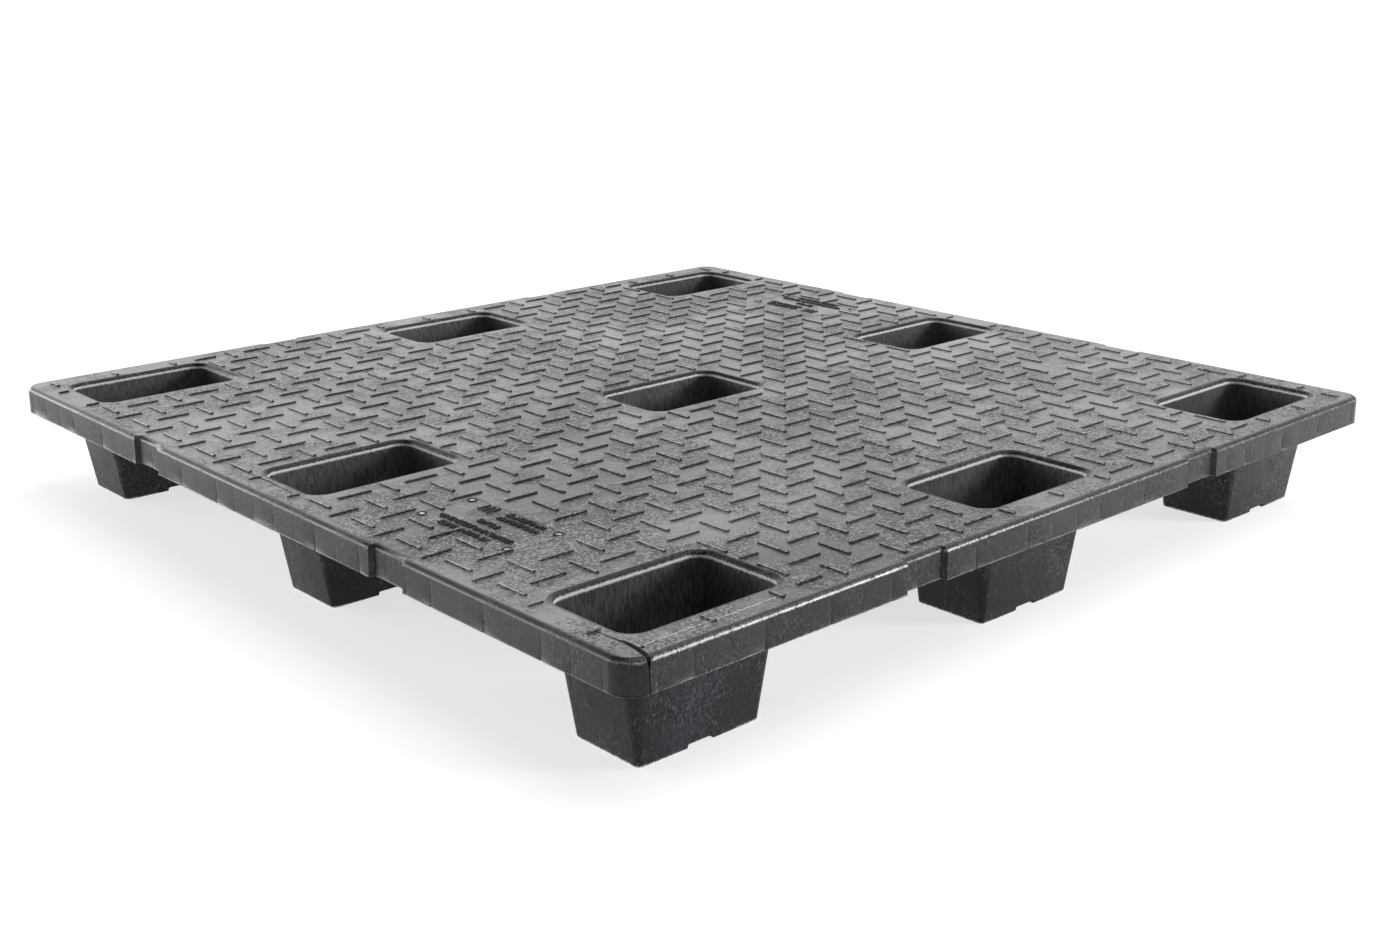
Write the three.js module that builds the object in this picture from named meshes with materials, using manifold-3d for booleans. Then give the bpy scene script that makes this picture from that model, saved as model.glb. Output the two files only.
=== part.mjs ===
// Nestable nine-leg plastic pallet, 48 x 48 in, moulded in one shot and shown here as its members.
// Millimetres. +Z is up, +X runs along the long side of the leg mouths, and the origin is on the
// floor under the middle of the deck. "Front" is the -Y side and "left" is the -X side.

import * as THREE from "three";
import { mergeVertices } from "three/addons/utils/BufferGeometryUtils.js";
import Module from "manifold-3d";

const wasm = await Module();
wasm.setup();

// Driving dimensions of the whole pallet
const SIDE = 1219; // 48 in deck, square
const HEIGHT = 136; // floor to deck surface
const CORNER_R = 25; // plan radius of the four outer corners
const DECK_T = 3.5; // deck skin
const GAP = 0.3; // modelling gap between members that are one moulding in reality

// Rim: the skirt round the deck, with two strap recesses on each side
const RIM_H = 33;
const RIM_T = 4;
const RECESS_W = 56;
const RECESS_D = 5;
const RECESS_LIFT = 3; // the rim's lower edge is this much higher inside a recess

// Legs: hollow tapered cups, open at the deck and closed at the floor, so that pallets nest
const LEG_PITCH = { x: 475, y: 505 };
const MOUTH = { x: 196, y: 126, r: 24 }; // where the rounded lip meets the deck surface
const LIP_R = 8;
const NECK = { x: 190, y: 120, r: 21 }; // outside of the wall just under the deck skin
const SOLE = { x: 148, y: 90, r: 12 }; // outside of the wall at the floor
const WALL = 4;
const SOLE_T = 4.5;
const CHANNEL = { width: 32, depth: 4.5 }; // drain channel across the sole, along Y

// Stiffening ribs under the deck
const RIB = { pitch: 82.4, t: 2.5, h: 24 };

const HALF = SIDE / 2;
const RIM_Z = HEIGHT - RIM_H;
const SKIN_Z = HEIGHT - DECK_T;
const RIB_TOP = SKIN_Z - GAP;
const RIB_Z = RIB_TOP - RIB.h;
const ARC_STEPS = 3; // facets per quarter turn
const MARGIN = 2; // how far a cutting block runs past what it cuts

// ---- Materials ----

const plastic = (name, colour, roughness) => {
  const material = new THREE.MeshStandardMaterial({ color: colour, roughness, metalness: 0 });
  material.name = name;
  return material;
};
const COLOURS = {
  deck: 0x5b5b5c,
  rim: 0x454546,
  leg: 0x3a3a3d,
  rib: 0x343436,
};

// ---- Solids ----

function toSolid(geometry) {
  geometry.deleteAttribute("normal");
  geometry.deleteAttribute("uv");
  const merged = mergeVertices(geometry, 1e-4);
  const mesh = new wasm.Mesh({
    numProp: 3,
    vertProperties: new Float32Array(merged.attributes.position.array),
    triVerts: new Uint32Array(merged.index.array),
  });
  return new wasm.Manifold(mesh);
}

function toGeometry(solid) {
  const mesh = solid.getMesh();
  const geometry = new THREE.BufferGeometry();
  geometry.setAttribute("position", new THREE.BufferAttribute(mesh.vertProperties, 3));
  geometry.setIndex(new THREE.BufferAttribute(mesh.triVerts, 1));
  geometry.computeVertexNormals();
  return geometry;
}

function blockSolid(low, high) {
  const size = high.map((value, k) => value - low[k]);
  const geometry = new THREE.BoxGeometry(...size);
  geometry.translate(...low.map((value, k) => value + size[k] / 2));
  return toSolid(geometry);
}

// Points of a rounded rectangle centred on the origin, anticlockwise from its right side
function roundedRectangle(width, depth, radius) {
  const points = [];
  const quarters = [[1, 1], [-1, 1], [-1, -1], [1, -1]];
  quarters.forEach(([sx, sy], quarter) => {
    for (let k = 0; k <= ARC_STEPS; k += 1) {
      const angle = ((quarter + k / ARC_STEPS) * Math.PI) / 2;
      const x = sx * (width / 2 - radius) + radius * Math.cos(angle);
      const y = sy * (depth / 2 - radius) + radius * Math.sin(angle);
      points.push(new THREE.Vector2(x, y));
    }
  });
  return points;
}

// A closed solid through a stack of rings with equal point counts, capped at both ends
function loft(rings) {
  const count = rings[0].points.length;
  const position = [];
  const index = [];
  rings.forEach(({ points, z }) => points.forEach((p) => position.push(p.x, p.y, z)));
  for (let r = 0; r < rings.length - 1; r += 1) {
    for (let k = 0; k < count; k += 1) {
      const next = (k + 1) % count;
      const [a, b] = [r * count + k, r * count + next];
      const [c, d] = [a + count, b + count];
      index.push(a, b, d, a, d, c);
    }
  }
  const last = (rings.length - 1) * count;
  THREE.ShapeUtils.triangulateShape(rings[0].points, []).forEach(([a, b, c]) => {
    index.push(c, b, a);
    index.push(last + a, last + b, last + c);
  });
  const geometry = new THREE.BufferGeometry();
  geometry.setAttribute("position", new THREE.Float32BufferAttribute(position, 3));
  geometry.setIndex(index);
  return geometry;
}

// ---- Deck skin ----

// One side of a square outline, from its left end to its right end, with the strap recesses
// stepped inwards; reach is the outline's distance from the middle and grow widens the steps
function sideOutline(reach, end, pitch, grow) {
  const points = [[-end, -reach]];
  for (const centre of [-pitch / 2, pitch / 2]) {
    const half = RECESS_W / 2 + grow;
    const inner = -reach + RECESS_D;
    points.push([centre - half, -reach], [centre - half, inner]);
    points.push([centre + half, inner], [centre + half, -reach]);
  }
  points.push([end, -reach]);
  return points;
}

function turn([x, y], quarter) {
  return [[x, y], [-y, x], [-x, -y], [y, -x]][quarter];
}

const legPositions = [-1, 0, 1].flatMap((row) =>
  [-1, 0, 1].map((column) => ({ row, column, x: column * LEG_PITCH.x, y: row * LEG_PITCH.y })),
);

function deckSkin() {
  const reach = HALF - RIM_T - GAP;
  const radius = CORNER_R - RIM_T - GAP;
  const end = reach - radius;
  const outline = [];
  for (let quarter = 0; quarter < 4; quarter += 1) {
    const pitch = quarter % 2 === 0 ? LEG_PITCH.x : LEG_PITCH.y;
    for (const point of sideOutline(reach, end, pitch, RIM_T + GAP)) {
      outline.push(new THREE.Vector2(...turn(point, quarter)));
    }
    for (let k = 1; k < ARC_STEPS; k += 1) {
      const angle = ((k / ARC_STEPS) * Math.PI) / 2 - Math.PI / 2;
      const corner = [end + radius * Math.cos(angle), -end + radius * Math.sin(angle)];
      outline.push(new THREE.Vector2(...turn(corner, quarter)));
    }
  }
  const shape = new THREE.Shape(outline);
  for (const leg of legPositions) {
    const hole = roundedRectangle(MOUTH.x + 2 * GAP, MOUTH.y + 2 * GAP, MOUTH.r + GAP);
    const points = hole.map((p) => new THREE.Vector2(p.x + leg.x, p.y + leg.y));
    shape.holes.push(new THREE.Path(points.reverse()));
  }
  const geometry = new THREE.ExtrudeGeometry(shape, { depth: DECK_T, bevelEnabled: false });
  geometry.translate(0, 0, SKIN_Z);
  return geometry;
}

// ---- Rim ----

function rimSide(pitch) {
  const end = HALF - CORNER_R - GAP / 2;
  const outer = sideOutline(HALF, end, pitch, 0);
  const inner = sideOutline(HALF - RIM_T, end, pitch, RIM_T).reverse();
  const shape = new THREE.Shape([...outer, ...inner].map((p) => new THREE.Vector2(...p)));
  const wall = new THREE.ExtrudeGeometry(shape, { depth: RIM_H, bevelEnabled: false });
  wall.translate(0, 0, RIM_Z);
  let solid = toSolid(wall);
  for (const centre of [-pitch / 2, pitch / 2]) {
    const low = [centre - RECESS_W / 2, -HALF, RIM_Z - MARGIN];
    const high = [centre + RECESS_W / 2, -HALF + RECESS_D + RIM_T + MARGIN, RIM_Z + RECESS_LIFT];
    solid = solid.subtract(blockSolid(low, high));
  }
  return toGeometry(solid);
}

function rimCorner() {
  const centre = HALF - CORNER_R;
  const arc = (radius, steps) =>
    Array.from({ length: steps + 1 }, (_, k) => {
      const angle = ((k / steps) * Math.PI) / 2 - Math.PI / 2;
      return new THREE.Vector2(centre + radius * Math.cos(angle), -centre + radius * Math.sin(angle));
    });
  const outer = arc(CORNER_R, 2 * ARC_STEPS);
  const inner = arc(CORNER_R - RIM_T, 2 * ARC_STEPS).reverse();
  const shape = new THREE.Shape([...outer, ...inner]);
  const geometry = new THREE.ExtrudeGeometry(shape, { depth: RIM_H, bevelEnabled: false });
  geometry.translate(0, 0, RIM_Z);
  return geometry;
}

// ---- Legs ----

function leg() {
  const ring = (x, y, r, z) => ({ points: roundedRectangle(x, y, r), z });
  const rings = [
    ring(SOLE.x, SOLE.y, SOLE.r, 0),
    ring(NECK.x, NECK.y, NECK.r, SKIN_Z - GAP),
    ring(MOUTH.x, MOUTH.y, MOUTH.r, SKIN_Z),
  ];
  for (let k = 0; k <= ARC_STEPS; k += 1) {
    const angle = ((k / ARC_STEPS) * Math.PI) / 2;
    const inset = LIP_R * Math.sin(angle);
    const z = HEIGHT - LIP_R * (1 - Math.cos(angle));
    rings.push(ring(MOUTH.x - 2 * inset, MOUTH.y - 2 * inset, MOUTH.r - inset, z));
  }
  const floor = { x: SOLE.x - 2 * WALL, y: SOLE.y - 2 * WALL, r: SOLE.r - WALL };
  rings.push(ring(floor.x, floor.y, floor.r, CHANNEL.depth + SOLE_T));
  const low = [-CHANNEL.width / 2, -SOLE.y, -MARGIN];
  const high = [CHANNEL.width / 2, SOLE.y, CHANNEL.depth];
  return toGeometry(toSolid(loft(rings)).subtract(blockSolid(low, high)));
}

// ---- Ribs ----

// Lines across one span, in pairs that bound a rib each: a border rib at both ends of the span,
// and a rib at every whole number of pitches between them
function ribEdges(low, high) {
  const edges = [low, low + RIB.t];
  for (let k = Math.ceil(low / RIB.pitch); k * RIB.pitch < high - 2 * RIB.t; k += 1) {
    const rib = k * RIB.pitch;
    if (rib > low + 2 * RIB.t) edges.push(rib - RIB.t / 2, rib + RIB.t / 2);
  }
  edges.push(high - RIB.t, high);
  return edges;
}

// A grid of ribs as one closed body. The strips between the edge lines are rib and gap in turn,
// so a patch of the grid is open only where a gap strip crosses a gap strip.
function ribLattice(spanX, spanY) {
  const xs = ribEdges(...spanX);
  const ys = ribEdges(...spanY);
  const layer = xs.length * ys.length;
  const vertex = (i, j, top) => i * ys.length + j + (top ? layer : 0);
  const inside = (i, j) => i >= 0 && j >= 0 && i < xs.length - 1 && j < ys.length - 1;
  const solid = (i, j) => inside(i, j) && (i % 2 === 0 || j % 2 === 0);
  const index = [];
  const quad = (a, b, c, d) => index.push(a, b, c, a, c, d);
  const wall = ([i, j], [k, l]) => {
    quad(vertex(i, j, false), vertex(k, l, false), vertex(k, l, true), vertex(i, j, true));
  };
  for (let i = 0; i < xs.length - 1; i += 1) {
    for (let j = 0; j < ys.length - 1; j += 1) {
      if (!solid(i, j)) continue;
      const round = [[i, j], [i + 1, j], [i + 1, j + 1], [i, j + 1]];
      quad(...round.map((p) => vertex(...p, true)));
      quad(...round.map((p) => vertex(...p, false)).reverse());
      if (!solid(i, j - 1)) wall(round[0], round[1]);
      if (!solid(i + 1, j)) wall(round[1], round[2]);
      if (!solid(i, j + 1)) wall(round[2], round[3]);
      if (!solid(i - 1, j)) wall(round[3], round[0]);
    }
  }
  const level = (z) => xs.flatMap((x) => ys.flatMap((y) => [x, y, z]));
  const geometry = new THREE.BufferGeometry();
  const position = [...level(RIB_Z), ...level(RIB_TOP)];
  geometry.setAttribute("position", new THREE.Float32BufferAttribute(position, 3));
  geometry.setIndex(index);
  return geometry;
}

// ---- The pallet ----

const pallet = new THREE.Group();

function addMember(name, geometry, material) {
  const mesh = new THREE.Mesh(geometry, material);
  mesh.name = name;
  pallet.add(mesh);
  return mesh;
}

addMember("deck_plate", deckSkin(), plastic("deck", COLOURS.deck, 0.5));

const sides = ["front", "right", "back", "left"];
sides.forEach((side, quarter) => {
  const pitch = quarter % 2 === 0 ? LEG_PITCH.x : LEG_PITCH.y;
  const rim = addMember(`rim_${side}`, rimSide(pitch), plastic("rim", COLOURS.rim, 0.55));
  rim.rotation.z = (quarter * Math.PI) / 2;
});

const corners = ["front_right", "back_right", "back_left", "front_left"];
corners.forEach((corner, quarter) => {
  const piece = addMember(`corner_${corner}`, rimCorner(), plastic("rim", COLOURS.rim, 0.55));
  piece.rotation.z = (quarter * Math.PI) / 2;
});

const ROW_NAMES = { "-1": "front", 0: "middle", 1: "back" };
const COLUMN_NAMES = { "-1": "left", 0: "centre", 1: "right" };
for (const { row, column, x, y } of legPositions) {
  const name = `leg_${ROW_NAMES[row]}_${COLUMN_NAMES[column]}`;
  addMember(name, leg(), plastic("leg", COLOURS.leg, 0.5)).position.set(x, y, 0);
}

// Two long lattices in the lanes between the leg rows, and six short ones between the legs
const ribReach = HALF - RIM_T - RECESS_D - GAP;
const legSideX = NECK.x / 2 + 2 * GAP;
const legSideY = NECK.y / 2 + 2 * GAP;
const lane = [legSideY, LEG_PITCH.y - legSideY];
const bay = [legSideX, LEG_PITCH.x - legSideX];
const mirrored = ([low, high]) => [-high, -low];
const bayRows = {
  front: [-ribReach, -lane[1] - GAP],
  middle: [-lane[0] + GAP, lane[0] - GAP],
  back: [lane[1] + GAP, ribReach],
};
const ribNode = (name, xs, ys) => {
  addMember(name, ribLattice(xs, ys), plastic("rib", COLOURS.rib, 0.6));
};
ribNode("ribs_front_lane", [-ribReach, ribReach], mirrored(lane));
ribNode("ribs_back_lane", [-ribReach, ribReach], lane);
for (const [row, ys] of Object.entries(bayRows)) {
  ribNode(`ribs_${row}_left`, mirrored(bay), ys);
  ribNode(`ribs_${row}_right`, bay, ys);
}

export default pallet;
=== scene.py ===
# %% [markdown]
# # A nestable plastic pallet
# The real pallet is one moulding in dark recycled plastic: a closed deck with nine hollow legs
# hanging from it, a rim folded down round the edge, and a grid of ribs underneath. The packed
# CAD model is loaded first and is never changed. Each member of it is then replaced by a
# finer piece that sits in exactly the same place, so the sizes stay those of the CAD.

# %% Load the frame
import math
import bmesh
import bpy
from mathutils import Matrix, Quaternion, Vector
from mathutils.geometry import delaunay_2d_cdt


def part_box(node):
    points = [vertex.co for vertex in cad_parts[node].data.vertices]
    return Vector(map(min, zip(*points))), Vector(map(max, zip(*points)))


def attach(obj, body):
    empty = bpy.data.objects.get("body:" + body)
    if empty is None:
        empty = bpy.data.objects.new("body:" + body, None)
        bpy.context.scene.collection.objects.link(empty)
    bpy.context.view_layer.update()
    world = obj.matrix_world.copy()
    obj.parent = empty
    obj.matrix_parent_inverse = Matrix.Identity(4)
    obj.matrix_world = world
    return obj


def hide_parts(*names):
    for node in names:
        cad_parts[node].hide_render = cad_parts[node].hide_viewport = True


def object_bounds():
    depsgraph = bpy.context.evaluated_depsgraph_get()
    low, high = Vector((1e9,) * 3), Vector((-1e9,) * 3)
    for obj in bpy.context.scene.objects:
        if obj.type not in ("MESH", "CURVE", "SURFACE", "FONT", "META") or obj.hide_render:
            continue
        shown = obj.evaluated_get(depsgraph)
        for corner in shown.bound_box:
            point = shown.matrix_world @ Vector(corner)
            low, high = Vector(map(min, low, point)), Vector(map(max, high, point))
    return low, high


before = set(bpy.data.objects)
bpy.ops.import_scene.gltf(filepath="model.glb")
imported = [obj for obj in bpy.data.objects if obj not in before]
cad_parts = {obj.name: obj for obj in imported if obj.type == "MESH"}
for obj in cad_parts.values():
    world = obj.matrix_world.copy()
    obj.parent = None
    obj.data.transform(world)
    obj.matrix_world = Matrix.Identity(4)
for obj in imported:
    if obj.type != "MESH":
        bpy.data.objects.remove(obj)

cad_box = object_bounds()
print("CAD box", [round(v, 4) for corner in cad_box for v in corner])

# %% [markdown]
# ## Sizes
# Everything below is drawn in millimetres and turned to metres once, when a mesh is made. The
# big sizes are read back from the CAD nodes. The small ones, such as the radius of an edge,
# belong to this model alone and are named here.

# %% The sizes that several pieces share
MM = 0.001
HALF = cad_box[1].x / MM  # from the middle of the pallet to a side
TOP = cad_box[1].z / MM  # the deck surface
RIM_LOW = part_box("rim_front")[0].z / MM
SKIN_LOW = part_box("deck_plate")[0].z / MM
CORNER_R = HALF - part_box("rim_front")[1].x / MM
LEG_PITCH = {"x": 475.0, "y": 505.0}
MOUTH = {"x": 196.0, "y": 126.0, "r": 24.0}  # where the rounded lip of a leg leaves the deck
SEAM = 0.6  # the deck piece stops this far outside the mouth
CRIMP = 8.0  # and this far inside the outer face of the rim
RIB_PITCH = 41.2  # between ribs, and between the cells of the anti-slip bars
SHARP = math.radians(35)  # an edge that turns more than this is shaded sharp
print("half side", HALF, "deck", TOP, "rim from", round(RIM_LOW, 2), "corner", CORNER_R)

# %% [markdown]
# ## One way to write node trees
# A material and a Geometry Nodes modifier are both trees of small nodes. Linking them by hand
# takes a page for one sum, so a small class wraps a socket and makes the Python operators add
# Math nodes. Every other node comes from one method, which sets the node up first and then
# fills or links its sockets.

# %% Wire and Tree
def math_node(operation, flipped=False):
    """A method of Wire that adds a Math node. flipped is for an operator's reflected form."""

    def method(self, *others):
        values = (*others, self) if flipped else (self, *others)
        settings = {"operation": operation}
        return self.tree.add("ShaderNodeMath", settings, dict(enumerate(values)))

    return method


class Wire:
    """The output of a node. Sums and comparisons on it add Math nodes to its tree."""

    def __init__(self, tree, socket):
        self.tree, self.socket = tree, socket

    def out(self, name):
        """Another output of the same node."""
        return Wire(self.tree, self.socket.node.outputs[name])

    __add__ = __radd__ = math_node("ADD")
    __mul__ = __rmul__ = math_node("MULTIPLY")
    __sub__, __rsub__ = math_node("SUBTRACT"), math_node("SUBTRACT", flipped=True)
    __truediv__, __rtruediv__ = math_node("DIVIDE"), math_node("DIVIDE", flipped=True)
    __mod__ = math_node("FLOORED_MODULO")
    __gt__, __lt__ = math_node("GREATER_THAN"), math_node("LESS_THAN")
    __abs__, __round__ = math_node("ABSOLUTE"), math_node("ROUND")
    least, most = math_node("MINIMUM"), math_node("MAXIMUM")
    floor, ceiling = math_node("FLOOR"), math_node("CEIL")
    root, sign = math_node("SQRT"), math_node("SIGN")


class Tree:
    """A node tree that is filled through add()."""

    def __init__(self, tree):
        self.tree = tree
        tree.nodes.clear()

    def add(self, kind, settings=None, values=None, output=0):
        """Makes a node, applies its settings, then fills its sockets with values or links."""
        node = self.tree.nodes.new(kind)
        for name, value in (settings or {}).items():
            setattr(node, name, value)
        for key, value in (values or {}).items():
            for part in value if isinstance(value, list) else [value]:
                if isinstance(part, Wire):
                    self.tree.links.new(part.socket, node.inputs[key])
                else:
                    node.inputs[key].default_value = part
        return Wire(self, node.outputs[output]) if node.outputs else node

    def split(self, vector):
        """The X, Y and Z of a vector."""
        x = self.add("ShaderNodeSeparateXYZ", values={0: vector})
        return x, x.out("Y"), x.out("Z")

    def join(self, x=0.0, y=0.0, z=0.0):
        return self.add("ShaderNodeCombineXYZ", values={0: x, 1: y, 2: z})


def object_from(name, data):
    """A new object in the scene, at the origin."""
    item = bpy.data.objects.new(name, data)
    bpy.context.scene.collection.objects.link(item)
    return item


# %% [markdown]
# ## The plastic
# Recycled polyolefin leaves the mould nearly black. What is seen on it is a thin story of how
# it flowed and how it was used: cloudy patches, a fine worm-like grain, pale specks and shallow
# sink lines over the ribs. Three more marks are partly or wholly painted light. Edges are
# painted pale, partly as wear and, on the rim, the bars and the screw prints, partly as a
# painted highlight. The inner walls of the legs are painted paler with upright strokes, partly
# as scrapes where nested legs slide and partly as painted light. Grooves, the steep sides of
# bars and raised marks and the rings of screw prints are painted dark, as painted shade. The
# pattern is worked out from the place on the pallet, so neighbouring pieces carry it on. Each
# mesh only stores how much of these three marks it has. A painted image could do the same but
# would need unwrapping.

# %% The plastic's helpers
def mixed(tree, factor, first, second):
    """A blend of two colours."""
    return tree.add(
        "ShaderNodeMix", {"data_type": "RGBA"}, {0: factor, 6: first, 7: second}, output=2
    )


def noise(tree, where, scale, detail=3.0, rough=0.55, warp=0.0):
    """Noise between about 0.2 and 0.8, with scale in waves per metre."""
    sockets = {
        "Vector": where,
        "Scale": scale,
        "Detail": detail,
        "Roughness": rough,
        "Distortion": warp,
    }
    return tree.add("ShaderNodeTexNoise", values=sockets)


def ramp(tree, value, low, high):
    """0 below low, 1 above high, with a soft start and end."""
    sockets = {"Value": value, "From Min": low, "From Max": high}
    return tree.add("ShaderNodeMapRange", {"interpolation_type": "SMOOTHSTEP"}, sockets)


def stretched(tree, where, sizes):
    """The place with each axis scaled, which draws a pattern out along the smallest."""
    return tree.add("ShaderNodeVectorMath", {"operation": "MULTIPLY"}, {0: where, 1: sizes})


# %% The plastic itself
PALE_WEAR_AND_HIGHLIGHT = (0.75, 0.75, 0.72, 1.0)  # edges painted pale, as wear and as a painted highlight
FLECK = (0.45, 0.45, 0.44, 1.0)
SCRAPED_AND_PAINTED_LIGHT = (0.075, 0.075, 0.078, 1.0)  # scrapes where the legs of nested pallets slide, and painted light on the inner walls
# painted shade, laid in grooves and on the sides of raised details
PAINTED_SHADE = (0.002, 0.002, 0.002, 1.0)
WAVES = {"cloud": 3.0, "patch": 9.0, "speck": 330.0, "fine": 460.0, "stroke": 480.0}  # per metre
UPRIGHT = (1.0, 1.0, 0.07)  # draws the strokes out along Z
STREAKED = 6.5  # how strongly the grain shows in the colour
CLOUDED = 2.2  # and how strongly the clouds do
SINK_EDGE = 0.10  # half the width of a sink line on the deck, in rib pitches


def moulded_plastic(
    name, dark, pale, flow, rough, grain, shine, fleck, wave=150.0, mean=0.42, lines=0.0
):
    """Nearly black moulded plastic, between a dark and a pale colour.

    flow stretches the grain, which has wave waves per metre and stands grain millimetres high.
    mean is the middle tone, fleck the strength of the specks, lines the depth of the sinks.
    """
    material = bpy.data.materials.new(name)
    material.use_nodes = True
    tree = Tree(material.node_tree)
    place = tree.add("ShaderNodeTexCoord").out("Object")
    edge, scraped, grime = (
        tree.add("ShaderNodeAttribute", {"attribute_name": label}).out("Fac")
        for label in ("edge", "scraped", "grime")
    )

    cloud = noise(tree, place, WAVES["cloud"], detail=4.0, warp=0.8)
    patch = ramp(tree, noise(tree, place, WAVES["patch"], detail=2.0, warp=1.4), 0.38, 0.62)
    drawn = stretched(tree, place, flow)
    worm = noise(tree, drawn, wave, detail=3.0, rough=0.68, warp=1.2)
    fine = noise(tree, drawn, WAVES["fine"], detail=1.0)
    speck = ramp(tree, noise(tree, drawn, WAVES["speck"], detail=1.0), 0.60, 0.70)
    lively = 0.25 + 0.80 * patch  # some patches of grain are calmer than others

    streak = (worm * 0.6 + fine * 0.4 - 0.5) * lively
    tone = ramp(tree, mean + (cloud - 0.5) * CLOUDED + streak * STREAKED, 0.0, 1.0)
    colour = mixed(tree, tone, dark, pale)
    colour = mixed(tree, speck * fleck * lively, colour, FLECK)
    upright = stretched(tree, place, UPRIGHT)
    strokes = noise(tree, upright, WAVES["stroke"], detail=2.0, warp=0.3)
    strokes = ramp(tree, strokes, 0.36, 0.66)
    # the inner walls of the legs: upright scrape strokes and a paler tone that is painted light
    colour = mixed(tree, scraped * (0.3 + 0.7 * strokes), colour, SCRAPED_AND_PAINTED_LIGHT)
    broken = worm * 0.5 + fine * 0.5 + (cloud - 0.5) * 0.3 + edge * 0.25
    # pale on edges: wear, and on the rim, bars and screw prints a painted highlight
    rub_and_highlight = edge * ramp(tree, broken, 0.45, 0.72)
    colour = mixed(tree, rub_and_highlight, colour, PALE_WEAR_AND_HIGHLIGHT)
    # darkens to painted shade in grooves and on the sides of raised details
    colour = mixed(tree, grime, colour, PAINTED_SHADE)

    x, y, _ = tree.split(place)
    height = grain * (worm * 0.65 + fine * 0.35) * lively
    if lines:
        for along in (x, y):
            gap = abs((along / (RIB_PITCH * MM) + 0.5) % 1.0 - 0.5)
            dent = lines * (1.0 - ramp(tree, gap, 0.0, SINK_EDGE))
            height = height - dent * (0.4 + 0.6 * cloud)
    bump = {"Strength": 1.0, "Distance": MM, "Height": height}
    looks = {
        "Base Color": colour,
        "Roughness": rough + streak * -0.5 + (patch - 0.5) * 0.10 + rub_and_highlight * -0.10 + grime * 0.35,
        "IOR": 1.5,
        "Specular IOR Level": shine,
        "Normal": tree.add("ShaderNodeBump", values=bump),
    }
    shader = tree.add("ShaderNodeBsdfPrincipled", values=looks)
    tree.add("ShaderNodeOutputMaterial", values={"Surface": shader})
    return material


# The four finishes are one plastic. The deck's tones are set much paler than the rim's and the
# legs', which paints light on the top and shade on the rim and the legs; their grain and roughness
# are the plastic's own.
deck_plastic = moulded_plastic(
    "deck_finish", dark=(0.010, 0.010, 0.011, 1), pale=(0.175, 0.174, 0.170, 1), flow=(1, 1, 1),
    rough=0.40, grain=1.5, shine=0.5, fleck=0.75, lines=0.05,
)
rim_plastic = moulded_plastic(
    "rim_finish", dark=(0.004, 0.004, 0.005, 1), pale=(0.030, 0.030, 0.032, 1),
    flow=(1, 1, 0.7), rough=0.38, grain=0.5, shine=0.36, fleck=0.14, wave=240.0,
)
# The front-left corner gets a darker copy of the rim's plastic, which paints shade on it; its
# lower roughness is real gloss.
corner_plastic_painted_shade = moulded_plastic(
    "glossy_corner_painted_shade_finish", dark=(0.002, 0.002, 0.003, 1), pale=(0.012, 0.012, 0.013, 1),
    flow=(1, 1, 0.7), rough=0.26, grain=0.15, shine=0.30, fleck=0.03, wave=240.0,
)
leg_plastic = moulded_plastic(
    "leg_finish", dark=(0.003, 0.003, 0.005, 1), pale=(0.052, 0.054, 0.068, 1),
    flow=(1, 1, 0.6), rough=0.38, grain=0.7, shine=0.22, fleck=0.08, wave=330.0, mean=0.16,
)
rib_plastic = moulded_plastic(
    "rib_finish", dark=(0.010, 0.010, 0.011, 1), pale=(0.028, 0.028, 0.030, 1),
    flow=(1, 1, 0.7), rough=0.50, grain=0.3, shine=0.4, fleck=0.0,
)
print("materials", [material.name for material in bpy.data.materials])

# %% [markdown]
# ## From points to a piece
# Each hand-built piece is a list of points and faces. One function turns it into an object: it
# scales to metres, points the faces outwards, shades it smooth except over sharp edges, and
# stores how pale each point is painted, as wear and painted highlight, and how much it is
# scraped and painted light, which the plastic reads. Most of them are rows of points skinned
# like a hose and closed at both ends, which another function does.

# %% Making a piece
def add_piece(name, points, faces, material, wear_and_highlight=None, scraped=None):
    """A closed mesh object from points in millimetres."""
    mesh = bpy.data.meshes.new(name)
    mesh.from_pydata([Vector(p) * MM for p in points], [], faces)
    for label, values in (("edge", wear_and_highlight), ("scraped", scraped)):
        if values:
            mesh.attributes.new(label, "FLOAT", "POINT").data.foreach_set("value", values)
    work = bmesh.new()
    work.from_mesh(mesh)
    bmesh.ops.recalc_face_normals(work, faces=work.faces)
    work.to_mesh(mesh)
    work.free()
    mesh.shade_smooth()
    mesh.set_sharp_from_angle(angle=SHARP)
    mesh.materials.append(material)
    return object_from(name, mesh)


def report(piece):
    """Prints the size of a piece, its triangles and whether it is closed."""
    mesh = piece.data
    mesh.calc_loop_triangles()
    work = bmesh.new()
    work.from_mesh(mesh)
    open_edges = sum(len(e.link_faces) != 2 for e in work.edges)
    volume = work.calc_volume(signed=True) / MM**3 / 1000
    work.free()
    triangles = len(mesh.loop_triangles)
    print(f"{piece.name}: {triangles} triangles, {open_edges} open, {volume:.1f} cm3")


def skinned(rows, width):
    """Faces of a hose: quads between closed rows of width points each, and a cap at each end."""
    faces = []
    for low in range(0, (rows - 1) * width, width):
        for k in range(width):
            after, high = (k + 1) % width, low + width
            faces.append((low + k, low + after, high + after, high + k))
    return faces + [tuple(range(width)), tuple(range((rows - 1) * width, rows * width))]


def arc(k, steps):
    """The angle after k of the equal steps of a quarter turn."""
    return k / steps * math.pi / 2


# %% [markdown]
# ## The section of the rim
# The rim is the same section all the way round: a flat strip that meets the deck, a rounded
# top edge, a face with a little draft so that it leaves the mould, and a thin line of flash at
# the bottom where the two halves of the mould meet. A curve with a bevel could sweep it, but
# the section has to step in at the strap recesses, so it is drawn station by station.

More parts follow.
